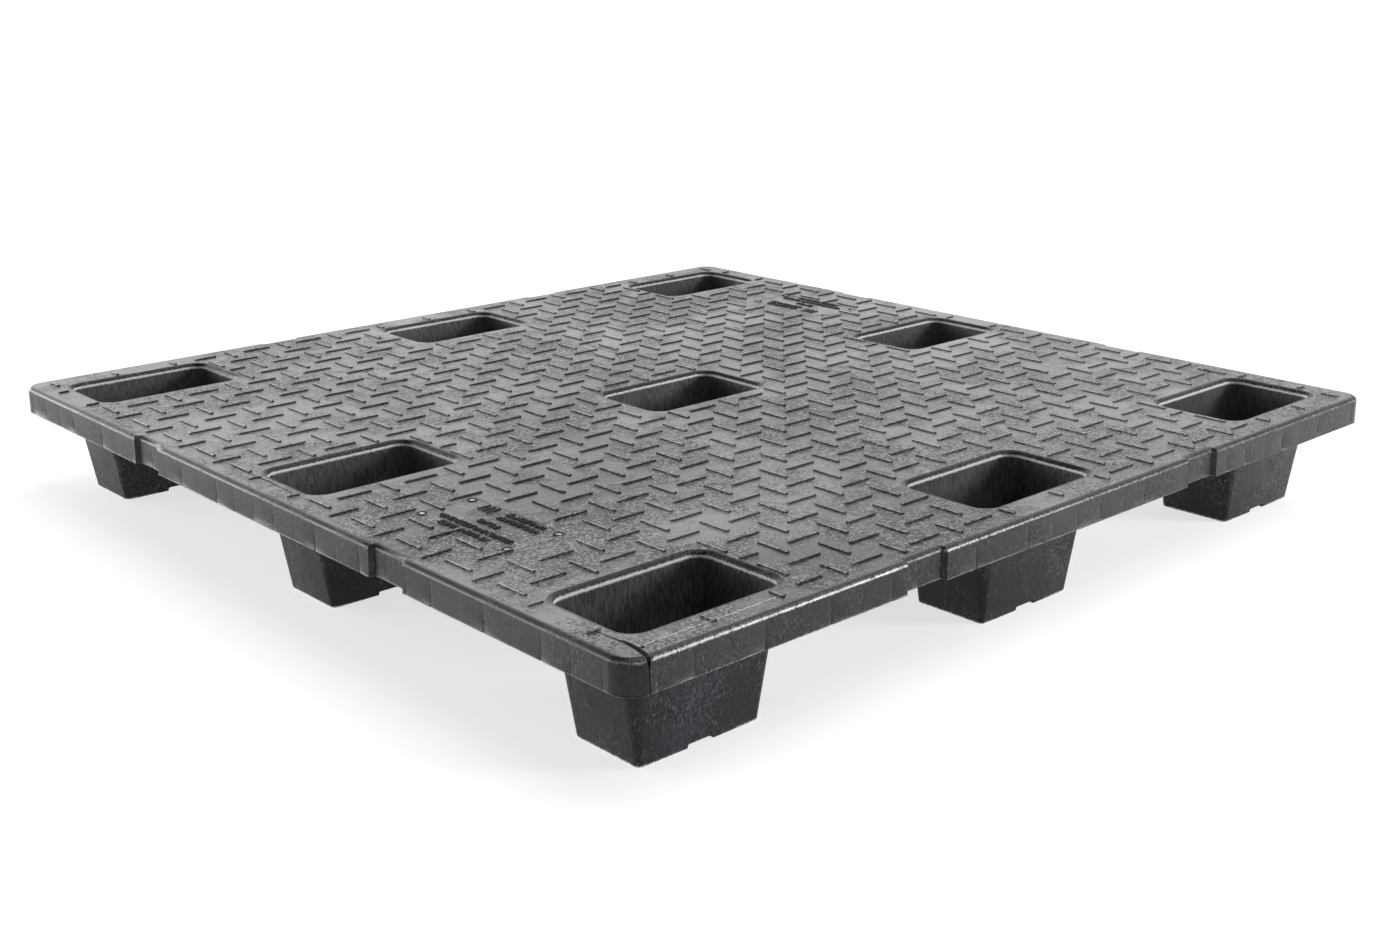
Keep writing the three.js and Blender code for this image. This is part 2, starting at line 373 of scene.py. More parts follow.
# %% Rim section
EDGE_R = 5.5  # rounding of the top edge
EDGE_WEAR_AND_HIGHLIGHT = (0.0, 0.0, 0.05, 0.3, 0.8, 0.9, 0.3, 0.0)  # along that rounding, from the deck down
DRAFT = 0.8  # how far in the face stands under the rounding
RIM_T = 4.0
FLASH = 0.4


def rim_section():
    """(distance in from the outer face, height, pale wear and painted highlight) round the closed
    section.
    """
    low, skin = RIM_LOW, SKIN_LOW
    section = [(CRIMP, TOP, 0.0), (EDGE_R + 0.6, TOP, 0.0)]
    for k, wear_and_sheen in enumerate(EDGE_WEAR_AND_HIGHLIGHT, 1):
        a = arc(k, len(EDGE_WEAR_AND_HIGHLIGHT))
        inward, drop = EDGE_R * (1 - math.sin(a)), EDGE_R * (1 - math.cos(a))
        section.append((DRAFT + inward, TOP - drop, wear_and_sheen))
    section += [
        (FLASH + 0.25, low + 12.0, 0.0),
        (FLASH, low + 1.4, 0.0),
        (0.1, low + 1.0, 0.15),
        (0.0, low + 0.5, 0.3),
        (FLASH, low, 0.1),
        (RIM_T - 0.6, low, 0.0),
        (RIM_T, low + 0.6, 0.0),
        (RIM_T + 0.4, skin - 2.0, 0.0),
        (RIM_T + 2.4, skin, 0.0),
        (CRIMP, skin, 0.0),
    ]
    return section


SECTION = rim_section()
print(len(SECTION), "points round the rim section")

# %% [markdown]
# Two strap recesses are pressed into each side. They are 56 mm wide and 5 mm deep with crisp
# steps, and the lower edge lifts a little inside them. Over each rib behind the rim the plastic
# shrank as it cooled, which leaves a shallow upright line.

# %% Recesses and sink lines
RECESS = {"wide": 56.0, "deep": 5.0, "step": 2.4, "lift": 1.2}
SINK = {"deep": 0.8, "wide": 2.8}


def smooth(t):
    """0 up to 0, 1 from 1, with a soft start and end."""
    t = min(max(t, 0.0), 1.0)
    return t * t * (3.0 - 2.0 * t)


def recess(along, pitch):
    """1 inside a strap recess, 0 outside."""
    gap = min(abs(along - pitch / 2), abs(along + pitch / 2))
    return 1.0 - smooth((gap - RECESS["wide"] / 2 + RECESS["step"] / 2) / RECESS["step"])


def sink(along):
    """How far the face has sunk at this place along a side."""
    gap = abs((along / RIB_PITCH + 0.5) % 1.0 - 0.5) * RIB_PITCH
    strength = 0.55 + 0.45 * math.sin(along * 0.37)
    return SINK["deep"] * strength * (1.0 - smooth(gap / SINK["wide"]))


def stations(pitch):
    """Distances along a side where the section is drawn, closer where it changes."""
    end = HALF - CORNER_R
    places = {-end, end}
    for line in range(-14, 15):
        spread = (SINK["wide"] * t for t in (-1, -0.6, -0.3, 0, 0.3, 0.6, 1))
        places.update(line * RIB_PITCH + offset for offset in spread)
    for middle in (-pitch / 2, pitch / 2):
        for side in (-1, 1):
            centre = middle + side * RECESS["wide"] / 2
            near = {p for p in places if abs(p - centre) < RECESS["step"] / 2 + 1.2}
            places -= near
            places.update(centre + RECESS["step"] * (t / 10 - 0.5) for t in range(11))
    kept = []
    for place in sorted(p for p in places if abs(p) <= end):
        if not kept or place - kept[-1] > 0.25:
            kept.append(place)
    kept[-1] = end
    return kept


def turned(x, y, quarter):
    """A place turned anticlockwise by a number of quarter turns."""
    for _ in range(quarter):
        x, y = -y, x
    return x, y


PITCHES = [LEG_PITCH["x"], LEG_PITCH["y"]] * 2
print([len(stations(pitch)) for pitch in PITCHES], "stations on the four sides")

# %% [markdown]
# ## The rim
# Each side is one sweep of the section, and each corner turns it through a quarter circle. The
# depth of the recess and of the sink lines is added to the distance in from the outer face.

# %% The four sides and four corners
SIDE_WEAR_AND_HIGHLIGHT = [0.85, 0.6, 0.7, 0.12]  # pale wear and painted highlight on the front, right, back and left edges at first; the left gets little painted highlight
HIGHLIGHT_FADE = {"from": -260.0, "over": 300.0, "by": 0.7}  # the pale wear and painted highlight lessen along each side
CORNER_WEAR_AND_HIGHLIGHT = 0.35
CORNER_STEPS = 18


def rim_side(name, quarter):
    """One side of the rim: its section, carried through all the stations."""
    pitch = PITCHES[quarter]
    points, wear_and_highlight = [], []
    places = stations(pitch)
    for along in places:
        inside = recess(along, pitch)
        # The pale line on the rim's top edge is partly wear and partly a painted highlight, set
        # side by side and fading along each side.
        highlight_faded = HIGHLIGHT_FADE["by"] * smooth((along - HIGHLIGHT_FADE["from"]) / HIGHLIGHT_FADE["over"])
        wear_and_highlight_scale = SIDE_WEAR_AND_HIGHLIGHT[quarter] * (1.0 - highlight_faded)
        for inward, high, wear_and_sheen in SECTION:
            dip = sink(along) if high < TOP - EDGE_R and inward < RIM_T / 2 else 0.0
            inward += RECESS["deep"] * inside + dip
            if high < RIM_LOW + 2.0:
                high += RECESS["lift"] * inside
            points.append((*turned(along, inward - HALF, quarter), high))
            wear_and_highlight.append(wear_and_sheen * wear_and_highlight_scale * (1.0 - 0.5 * inside))
    return add_piece(name, points, skinned(len(places), len(SECTION)), rim_plastic, wear_and_highlight)


def corner_point(k, inward, quarter):
    """The place on a rounded corner after k steps, this far in from the outer face."""
    a = (k / CORNER_STEPS - 1.0) * math.pi / 2
    centre, reach = HALF - CORNER_R, CORNER_R - inward
    return turned(centre + reach * math.cos(a), reach * math.sin(a) - centre, quarter)


def rim_corner(name, quarter, material):
    """One corner of the rim: its section, turned through a quarter circle."""
    points, wear_and_highlight = [], []
    for k in range(CORNER_STEPS + 1):
        for inward, high, wear_and_sheen in SECTION:
            points.append((*corner_point(k, inward, quarter), high))
            wear_and_highlight.append(wear_and_sheen * CORNER_WEAR_AND_HIGHLIGHT)
    return add_piece(name, points, skinned(CORNER_STEPS + 1, len(SECTION)), material, wear_and_highlight)


SIDES = ["front", "right", "back", "left"]
CORNERS = ["front_right", "back_right", "back_left", "front_left"]
made = []
for quarter, side in enumerate(SIDES):
    made.append((rim_side(f"rim_{side}_face", quarter), f"rim_{side}", "rim_plastic"))
    report(made[-1][0])
for quarter, corner in enumerate(CORNERS):
    # painted shade: the front-left corner takes the darker copy of the rim's plastic
    finish = corner_plastic_painted_shade if corner == "front_left" else rim_plastic
    piece = rim_corner(f"corner_{corner}_face", quarter, finish)
    made.append((piece, f"corner_{corner}", "rim_plastic"))
    report(piece)

# %% [markdown]
# ## The deck
# The deck is a flat skin with nine holes. Its outline uses the very same stations as the rim, so
# the two meet point for point and read as one surface. A triangulation that respects the
# outline and the holes fills it; a Boolean of nine cutters would do the same more slowly.

# %% Outlines
ROUND_STEPS = 8


def rounded_rectangle(x, y, r):
    """Points of a rounded rectangle about the origin, anticlockwise."""
    points = []
    for quarter, (side_x, side_y) in enumerate([(1, 1), (-1, 1), (-1, -1), (1, -1)]):
        for k in range(ROUND_STEPS + 1):
            a = (quarter + k / ROUND_STEPS) * math.pi / 2
            points.append(
                (side_x * (x / 2 - r) + r * math.cos(a), side_y * (y / 2 - r) + r * math.sin(a))
            )
    return points


def deck_outline():
    """The edge of the deck piece, along the stations of the rim."""
    points = []
    for quarter, pitch in enumerate(PITCHES):
        for along in stations(pitch):
            inward = CRIMP + RECESS["deep"] * recess(along, pitch)
            points.append(turned(along, inward - HALF, quarter))
        points += [corner_point(k, CRIMP, quarter) for k in range(1, CORNER_STEPS)]
    return points


LEGS = {
    f"leg_{row}_{column}": (i * LEG_PITCH["x"], j * LEG_PITCH["y"])
    for j, row in ((-1, "front"), (0, "middle"), (1, "back"))
    for i, column in ((-1, "left"), (0, "centre"), (1, "right"))
}


# %% The deck skin
def deck_skin():
    """The flat skin: its outline and nine holes, filled above and below and walled between."""
    loops = [deck_outline()]
    hole = rounded_rectangle(MOUTH["x"] + 2 * SEAM, MOUTH["y"] + 2 * SEAM, MOUTH["r"] + SEAM)
    loops += [[(x + cx, y + cy) for x, y in hole] for cx, cy in LEGS.values()]
    flat, rings, owner = [], [], []
    for number, loop in enumerate(loops):
        first = len(flat)
        flat += [Vector(p) for p in loop]
        rings += [(first + k, first + (k + 1) % len(loop)) for k in range(len(loop))]
        owner += [number] * len(loop)
    placed, _, triangles, *_ = delaunay_2d_cdt(flat, rings, [], 1, 1e-5)
    # a triangle with all three corners on one mouth lies in the hole
    triangles = [t for t in triangles if len({owner[k] for k in t}) > 1 or owner[t[0]] == 0]
    count = len(placed)
    points = [(p.x, p.y, high) for high in (TOP, SKIN_LOW) for p in placed]
    faces = [tuple(t) for t in triangles] + [tuple(k + count for k in t[::-1]) for t in triangles]
    faces += [(a, b, b + count, a + count) for a, b in rings]
    return add_piece("deck_skin", points, faces, deck_plastic)


deck = deck_skin()
made.append((deck, "deck_plate", "deck_plastic"))
report(deck)

# %% [markdown]
# ## The legs
# A leg is a hollow cup: a strip that meets the deck, a rounded lip, a tapered wall inside and
# another outside, and a sole with a drain channel across it. Rounded rectangles of the same
# point count are stacked into rings and skinned, which keeps every wall made of clean quads.
# The channel is then cut with a Boolean, the one feature that doesn't follow the rings.

# %% Rings of a leg
LIP_R = 5.6
LIP_WEAR = (0.0, 0.0, 0.0, 0.0, 0.0, 0.3, 1.0, 1.0)  # along the lip's rounding, from the deck in
NECK = {"x": 190.0, "y": 120.0, "r": 21.0}  # outside of the wall, under the deck
FLARE = {"high": 5.0, "wide": 5.2}  # where the neck widens to meet the skin
SOLE = {"x": 148.0, "y": 90.0, "r": 6.5}
SOLE_R = 1.6
SOLE_WEAR = 0.6
WALL = 4.0
FLOOR = 9.0  # height of the cup's floor
FLOOR_R = 9.0
CHANNEL = {"wide": 32.0, "deep": 4.5}
ARC_STEPS = 5


def shrunk(size, inset):
    """The length, width and radius of an outline drawn in on every side."""
    return size["x"] - 2 * inset, size["y"] - 2 * inset, max(size["r"] - inset, 1.0)


def between(low, high, t):
    """The outline a fraction t of the way from one to another."""
    return shrunk({k: low[k] + (high[k] - low[k]) * t for k in low}, 0)


def leg_rings():
    """(outline, height, wear) of each ring, from the sole up the outside and down the inside."""
    rings = []

    def ring(outline, high, wear_and_sheen=0.0):
        rings.append((outline, high, wear_and_sheen))

    ring(shrunk(SOLE, SOLE_R + 6), 0.0)
    for k in range(ARC_STEPS + 1):
        a = arc(k, ARC_STEPS)
        ring(shrunk(SOLE, SOLE_R * (1 - math.sin(a))), SOLE_R * (1 - math.cos(a)), SOLE_WEAR)
    ring(between(SOLE, NECK, 0.01), SOLE_R + 1.4)  # the wear ends here
    neck_low = SKIN_LOW - FLARE["high"]
    for k in range(1, 7):
        t = k / 6
        ring(between(SOLE, NECK, t * 0.97), SOLE_R + (neck_low - SOLE_R) * t)
    for k in range(1, 5):
        a = arc(k, 4)
        wider = (1 - math.cos(a)) * FLARE["wide"]
        ring(shrunk(NECK, -wider), neck_low + FLARE["high"] * math.sin(a))
    for high, out in ((SKIN_LOW, SEAM), (TOP, SEAM), (TOP, 0.2)):
        ring(shrunk(MOUTH, -out), high)
    for k, wear_and_sheen in enumerate(LIP_WEAR, 1):
        a = arc(k, len(LIP_WEAR))
        ring(shrunk(MOUTH, LIP_R * math.sin(a)), TOP - LIP_R * (1 - math.cos(a)), wear_and_sheen)
    inner_top = {k: MOUTH[k] - LIP_R * (1 if k == "r" else 2) for k in MOUTH}
    inner_low = dict(zip("xyr", shrunk(SOLE, WALL)))
    wall_high, wall_low = TOP - LIP_R, FLOOR + FLOOR_R
    ring(shrunk(inner_top, 0.15), wall_high - 1.0, 0.5)
    ring(shrunk(inner_top, 0.35), wall_high - 2.2)  # and here again
    for k in range(1, 6):
        t = 1 - k / 5
        ring(between(inner_low, inner_top, t), wall_low + (wall_high - wall_low) * t)
    for k in range(1, ARC_STEPS + 1):
        a = arc(k, ARC_STEPS)
        ring(shrunk(inner_low, FLOOR_R * (1 - math.cos(a))), wall_low - FLOOR_R * math.sin(a))
    ring(shrunk(inner_low, FLOOR_R + 8), FLOOR)
    return rings


def freeze(piece):
    """Replaces a piece's mesh by what its modifiers make of it."""
    depsgraph = bpy.context.evaluated_depsgraph_get()
    mesh = bpy.data.meshes.new_from_object(piece.evaluated_get(depsgraph), depsgraph=depsgraph)
    piece.modifiers.clear()
    piece.data = mesh
    mesh.name = piece.name


def cut(cutter, *pieces):
    """Takes a closed cutter out of the pieces, and throws the cutter away."""
    for piece in pieces:
        taken = piece.modifiers.new("cut", "BOOLEAN")
        taken.operation, taken.solver, taken.object = "DIFFERENCE", "EXACT", cutter
        freeze(piece)
        piece.data.set_sharp_from_angle(angle=SHARP)
    bpy.data.objects.remove(cutter)


def channel_cutter(place):
    """The drain channel across the sole, along Y, as a closed solid."""
    half, deep = CHANNEL["wide"] / 2, CHANNEL["deep"]
    right = [(half + 0.6, -5), (half, deep - 1), (half - 1, deep)]
    outline = right + [(-x, z) for x, z in reversed(right)]
    reach = SOLE["y"]
    points = [(place[0] + x, place[1] + y, z) for y in (-reach, reach) for x, z in outline]
    return add_piece("channel_cutter", points, skinned(2, len(outline)), leg_plastic)


# %% The nine legs
def make_leg(name, place):
    """A leg about its place on the floor. Its inner walls are scraped and painted light, its lip
    and sole worn.
    """
    points, wear_and_highlight, scraped = [], [], []
    rings = leg_rings()
    highest = [high for _, high, _ in rings].index(TOP)
    for number, (outline, high, wear_and_sheen) in enumerate(rings):
        for x, y in rounded_rectangle(*outline):
            points.append((place[0] + x, place[1] + y, high))
            wear_and_highlight.append(wear_and_sheen)
            scraped.append(float(number > highest and FLOOR + FLOOR_R < high < TOP - LIP_R))
    faces = skinned(len(rings), len(points) // len(rings))
    leg = add_piece(name, points, faces, leg_plastic, wear_and_highlight, scraped)
    cut(channel_cutter(place), leg)
    return leg


for node, place in LEGS.items():
    leg = make_leg(f"{node}_cup", place)
    made.append((leg, node, "leg_plastic"))
report(leg)

# %% [markdown]
# ## Geometry Nodes for what repeats
# Bars, ribs and prints repeat by a rule, so each kind is one node tree with named inputs.
# The inputs of the modifier are set by identifier, because names may repeat.

# %% Running a tree
SOCKETS = {float: "Float", int: "Int", bpy.types.Material: "Material"}


def new_group(name, sizes):
    """The Tree of a Geometry Nodes group, and a Wire for each size and for the material."""
    group = bpy.data.node_groups.new(name, "GeometryNodeTree")
    kinds = {label: type(value) for label, value in sizes.items()}
    kinds["Material"] = bpy.types.Material
    for label, kind in kinds.items():
        socket = "NodeSocket" + SOCKETS[kind]
        group.interface.new_socket(label, in_out="INPUT", socket_type=socket)
    group.interface.new_socket("Geometry", in_out="OUTPUT", socket_type="NodeSocketGeometry")
    tree = Tree(group)
    first = tree.add("NodeGroupInput")
    return tree, {label: first.out(label) for label in kinds}


def real(tree, geometry):
    """The geometry with its instances turned into plain mesh."""
    return tree.add("GeometryNodeRealizeInstances", values={0: geometry})


def close_group(tree, geometry, size):
    """Ends a tree: instances made real, and the material set."""
    sockets = {0: real(tree, geometry), "Material": size["Material"]}
    tree.add("NodeGroupOutput", values={0: tree.add("GeometryNodeSetMaterial", values=sockets)})
    return tree.tree


def grown(name, group, sizes, material):
    """The plain mesh that a group makes with these inputs."""
    piece = object_from(name, bpy.data.meshes.new(name))
    modifier = piece.modifiers.new("grown", "NODES")
    modifier.node_group = group
    inputs = {**sizes, "Material": material}
    for item in group.interface.items_tree:
        if item.in_out == "INPUT":
            modifier[item.identifier] = inputs[item.name]
    freeze(piece)
    report(piece)
    return piece


# %% Steps that several trees share
def marked(tree, geometry, label, value, domain="POINT"):
    """Stores a number on every point or face, which the plastic reads by its label."""
    sockets = {0: geometry, "Name": label, "Value": value}
    return tree.add("GeometryNodeStoreNamedAttribute", {"domain": domain}, sockets)


def position(tree):
    """The X, Y and Z of each point."""
    return tree.split(tree.add("GeometryNodeInputPosition"))


def points_grid(tree, span, cells):
    return tree.add("GeometryNodeMeshGrid", values={0: span, 1: span, 2: cells, 3: cells})


def points_row(tree, count, start, step):
    sockets = {"Count": count, "Start Location": tree.join(*start), "Offset": tree.join(*step)}
    return tree.add("GeometryNodeMeshLine", values=sockets)


def turn_about_z(tree, angle):
    return tree.add("FunctionNodeEulerToRotation", values={0: tree.join(z=angle)})


def place_on(tree, points, block, turn=0.0, scale=(1.0, 1.0, 1.0), kept=True):
    """Copies of a block on the kept points, turned about Z and scaled."""
    sockets = {
        "Points": points,
        "Selection": kept,
        "Instance": block,
        "Rotation": turn_about_z(tree, turn),
        "Scale": tree.join(*scale),
    }
    return tree.add("GeometryNodeInstanceOnPoints", values=sockets)


def random_number(tree, low, high, seed):
    sockets = {2: low, 3: high, "Seed": seed}
    return tree.add("FunctionNodeRandomValue", {"data_type": "FLOAT"}, sockets, output=1)


def ball(tree, segments, rings, radius):
    sockets = {"Segments": segments, "Rings": rings, "Radius": radius}
    return tree.add("GeometryNodeMeshUVSphere", values=sockets)


def chamfered_block(tree, length, width, height, chamfer):
    """A block standing on the origin with its top edges chamfered."""
    size = tree.join(length, width, height)
    cube = tree.add("GeometryNodeMeshCube", values={0: size, 1: 2, 2: 2, 3: 3})
    x, y, z = position(tree)
    top = z > height * 0.25  # the cube has three layers of points, about its middle
    middle = abs(z) < height * 0.25
    side_x, side_y = x.sign(), y.sign()
    shift = tree.join(
        top * side_x * chamfer * -1.0,
        top * side_y * chamfer * -1.0,
        height * 0.5 + middle * (height * 0.5 - chamfer),
    )
    return tree.add("GeometryNodeSetPosition", values={0: cube, "Offset": shift})


# %% [markdown]
# ## The anti-slip bars
# Raised bars cover the deck in a woven pattern: 29 cells each way, with the bar along X in every
# odd cell and along Y in every even one. They stop short of the leg mouths, the deck's edge and
# two panels, and one is missing where the mould was repaired. A mesh grid gives the cells, and
# the clipping is plain arithmetic on each cell's place: the tree works out how much of the bar
# is left, drops the stubs, and scales and shifts one shared block to fit. The steep faces of a
# bar are painted dark as shade, most on the faces that face along Y, and the chamfer that faces
# left is painted pale as a highlight.

# %% Sizes of the bars and panels
BARS = {
    "Pitch": RIB_PITCH * MM,
    "Cells": 29,
    "Length": 40.0 * MM,
    "Width": 3.8 * MM,
    "Height": 1.9 * MM,
    "Chamfer": 0.6 * MM,
    "Clear of mouth": 4.5 * MM,
    "Outer strip": 570.0 * MM,
    "Outer room": 12.0 * MM,
    "Edge limit": 590.0 * MM,
    "Shortest": 7.0 * MM,
    "Mouth X": MOUTH["x"] * MM,
    "Mouth Y": MOUTH["y"] * MM,
    "Mouth radius": MOUTH["r"] * MM,
    "Leg pitch X": LEG_PITCH["x"] * MM,
    "Leg pitch Y": LEG_PITCH["y"] * MM,
    "Panel X": 487.0 * MM,
    "Panel Y": 253.0 * MM,
    "Panel width": 77.0 * MM,
    "Panel length": 162.0 * MM,
    "Deck": TOP * MM,
}
SUNK = 0.3 * MM  # how deep a raised detail stands in the deck
MISSING = (11, -6)  # the cell with no bar, counted from the middle
BAR_PAINTED_SHADE = {"long": 0.95, "end": 0.3}  # painted shade on the long sides of bars along X, and less on their ends and on the long sides of bars along Y
BAR_HIGHLIGHT = 0.7


# %% The bar tree
def bars_group():
    tree, size = new_group("anti_slip_bars", BARS)
    pitch = size["Pitch"]
    grid = points_grid(tree, pitch * (size["Cells"] - 1), size["Cells"])
    x, y, _ = position(tree)
    column, row = round(x / pitch), round(y / pitch)
    odd = abs(column + row) % 2.0
    even = 1 - odd

    def pick(if_odd, if_even):
        return if_odd * odd + if_even * even

    # the cell's place along and across its own bar, and from the nearest leg
    along, across = pick(x, y), pick(y, x)
    pitch_x, pitch_y = size["Leg pitch X"], size["Leg pitch Y"]
    step_along, step_across = pick(pitch_x, pitch_y), pick(pitch_y, pitch_x)
    leg_along = round(along / step_along).most(-1.0).least(1.0) * step_along
    leg_across = round(across / step_across).most(-1.0).least(1.0) * step_across
    u, v = along - leg_along, abs(across - leg_across)
    # how far the mouth reaches along the bar's line, round corners included
    clear, radius = size["Clear of mouth"], size["Mouth radius"] + size["Clear of mouth"]
    half_along = pick(size["Mouth X"], size["Mouth Y"]) * 0.5 + clear
    outer = abs(across) > size["Outer strip"]
    half_across = pick(size["Mouth Y"], size["Mouth X"]) * 0.5 + clear + outer * size["Outer room"]
    into_corner = (v - half_across + radius).most(0.0)
    bend = (radius * radius - into_corner * into_corner).most(0.0).root()
    beside = v < half_across
    mouth = (half_along - radius + bend) * beside - (1 - beside)
    # where the bar starts and ends after the mouth and the deck's edge have cut it
    near = (abs(u) - size["Length"] * 0.5).most(mouth)
    far = abs(u) + size["Length"] * 0.5
    side = (u > -1e-6) * 2.0 - 1.0
    limit = size["Edge limit"]
    one = (leg_along + side * near).least(limit).most(limit * -1.0)
    two = (leg_along + side * far).least(limit).most(limit * -1.0)
    length = (two - one) * side
    # which cells have a bar at all
    panel_x = abs(abs(x) - size["Panel X"]) < size["Panel width"] * 0.5
    panel_y = abs(y * x.sign() - size["Panel Y"]) < size["Panel length"] * 0.5
    missing = (abs(column - MISSING[0]) + abs(row - MISSING[1])) < 0.5
    kept = (length > size["Shortest"]) * (1 - panel_x * panel_y) * (1 - missing)

    high = size["Height"] + SUNK
    block = chamfered_block(tree, size["Length"], size["Width"], high, size["Chamfer"])
    scale = (length / size["Length"], 1.0, 1.0)
    bars = place_on(tree, grid, block, even * (math.pi / 2), scale, kept)
    moved = (one + two) * 0.5 - along
    shift = tree.join(moved * odd, moved * even, size["Deck"] - SUNK)
    sockets = {0: bars, "Translation": shift, "Local Space": False}
    bars = real(tree, tree.add("GeometryNodeTranslateInstances", values=sockets))

    facing_x, facing_y, facing_up = tree.split(tree.add("GeometryNodeInputNormal"))
    # steep faces are painted dark according to the way they face: painted shade
    steep = 1 - facing_up * facing_up
    shade_by_facing = BAR_PAINTED_SHADE["long"] * abs(facing_y) + BAR_PAINTED_SHADE["end"] * abs(facing_x)
    bars = marked(tree, bars, "grime", steep * shade_by_facing, "FACE")
    # the chamfer that faces left is painted pale: a painted highlight
    wear_and_highlight = (facing_x < -0.3) * (facing_up > 0.3) * BAR_HIGHLIGHT
    return close_group(tree, marked(tree, bars, "edge", wear_and_highlight, "FACE"), size)


bars = grown("anti_slip_bars", bars_group(), BARS, deck_plastic)

# %% [markdown]
# ## The ribs under the deck
# Under the skin a grid of upright ribs makes the thin deck stiff. The deep ribs carry the load
# and shallower ones halve the squares between them. Each rib is thinner at its free edge so
# that it leaves the mould. The tree lays rows of one tapered blade along both directions and
# joins them into one solid, so no blade is left running through another.

# %% The rib tree
RIBS = {
    "Low X": 0.0,
    "High X": 0.0,
    "Low Y": 0.0,
    "High Y": 0.0,
    "Under skin": SKIN_LOW * MM,
    "Pitch": 2 * RIB_PITCH * MM,
    "Deep": 24.3 * MM,
    "Shallow": 13.0 * MM,
    "Thickness": 2.6 * MM,
    "Free edge": 1.8 * MM,
}


APART = 0.12  # a rib closer than this to an outer one, in pitches, is left out


def rib_row(tree, size, ends, first, pitch, count, deep, turn):
    """Blades side by side. ends are those of each blade, first is the place of the first one."""
    length = ends[1] - ends[0]
    thickness = size["Thickness"]
    cube = tree.add("GeometryNodeMeshCube", values={0: tree.join(length, thickness, deep)})
    _, y, z = position(tree)
    thinner = (z < 0.0) * (1.0 - size["Free edge"] / thickness)
    taper = tree.join(0.0, y * thinner * -1.0, deep * -0.5)
    blade = tree.add("GeometryNodeSetPosition", values={0: cube, "Offset": taper})
    start, step = [(ends[0] + ends[1]) * 0.5, first], [0.0, pitch]
    if turn:
        start, step = start[::-1], step[::-1]
    line = points_row(tree, count, (*start, size["Under skin"]), step)
    return place_on(tree, line, blade, turn * math.pi / 2)


def ribs_group():
    tree, size = new_group("rib_grid", RIBS)
    span_x = (size["Low X"], size["High X"])
    span_y = (size["Low Y"], size["High Y"])
    pitch, edge = size["Pitch"], size["Thickness"]
    rows = []
    for turn, ends, across in ((0, span_x, span_y), (1, span_y, span_x)):
        low, high = across[0] + edge * 0.5, across[1] - edge * 0.5
        rows.append(rib_row(tree, size, ends, low, high - low, 2, size["Deep"], turn))
        for shift, deep in ((0.0, size["Deep"]), (0.5, size["Shallow"])):
            start = (low / pitch - shift + APART).ceiling()
            stop = (high / pitch - shift - APART).floor()
            first = (start + shift) * pitch
            count = (stop - start + 1.0).most(0.0)
            rows.append(rib_row(tree, size, ends, first, pitch, count, deep, turn))
    union = {"operation": "UNION", "solver": "MANIFOLD"}
    return close_group(tree, tree.add("GeometryNodeMeshBoolean", union, {1: rows}), size)


# %% One grid for each rib node
JOINT = 0.15 * MM  # half of the gap that the CAD leaves between neighbours
rib_tree = ribs_group()
for node in sorted(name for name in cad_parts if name.startswith("ribs_")):
    low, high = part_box(node)
    spans = {"Low X": low.x, "High X": high.x, "Low Y": low.y, "High Y": high.y}
    spans = {k: v + (JOINT if k.startswith("High") else -JOINT) for k, v in spans.items()}
    grid = grown(f"{node}_grid", rib_tree, {**RIBS, **spans}, rib_plastic)
    made.append((grid, node, "rib_plastic"))

# %% [markdown]
# ## Knit lines
# Where two streams of molten plastic met near the left and front edges they left a seam. Along
# the left edge it is a fine groove. At the front-left corner it opens into a notch that runs
# down the rim. Along the front edge it stands up a little and has been rubbed pale. A
# three-sided strip along a path does for all: as a cutter for the groove and the notch, whose
# cut faces are then painted dark as shade, and as a bead for the ridge.

# %% Strips along a path
UP, OUT_FRONT = Vector((0, 0, 1)), Vector((0, -1, 0))
ROUND_OUT = Vector((0, -1, 1)).normalized()


def three_sided(name, path, base, material):
    """A closed strip. path holds (point, outward, half width at base, height of the apex)."""
    points = []
    for k, (point, outward, half, apex) in enumerate(path):
        here = Vector(point)
        ahead = Vector(path[min(k + 1, len(path) - 1)][0]) - Vector(path[max(k - 1, 0)][0])
        across = ahead.cross(outward).normalized()
        points += [here + outward * base - across * half, here + outward * base + across * half]
        points.append(here + outward * apex)
    return add_piece(name, points, skinned(len(path), 3), material, [0.0, 0.0, 1.0] * len(path))


def paint_groove_shade(piece, path):
    """Paints dark, as painted shade, every face of the piece that touches the apex line of a cut
    path.
    """
    points = [(Vector(point) + outward * apex) * MM for point, outward, _, apex in path]
    mesh = piece.data

    def on_line(here):
        for one, two in zip(points, points[1:]):
            t = min(max((here - one).dot(two - one) / (two - one).length_squared, 0.0), 1.0)
            if (one.lerp(two, t) - here).length < 0.02 * MM:
                return True
        return False

    marks = [on_line(vertex.co) for vertex in mesh.vertices]
    grime = mesh.attributes.get("grime") or mesh.attributes.new("grime", "FLOAT", "FACE")
    for face, datum in zip(mesh.polygons, grime.data):
        if any(marks[k] for k in face.vertices):
            datum.value = 1.0


def left_groove():
    """The groove's path, which widens and deepens towards its middle."""
    path = []
    for y in range(190, -114, -8):
        swell = math.exp(-(((y - 20) / 60) ** 2))
        point = (LEFT_KNIT_X + 0.6 * math.sin(y / 29), y, TOP)
        path.append((point, UP, 0.55 + 0.75 * swell, -0.8 - 0.6 * swell))
    return path


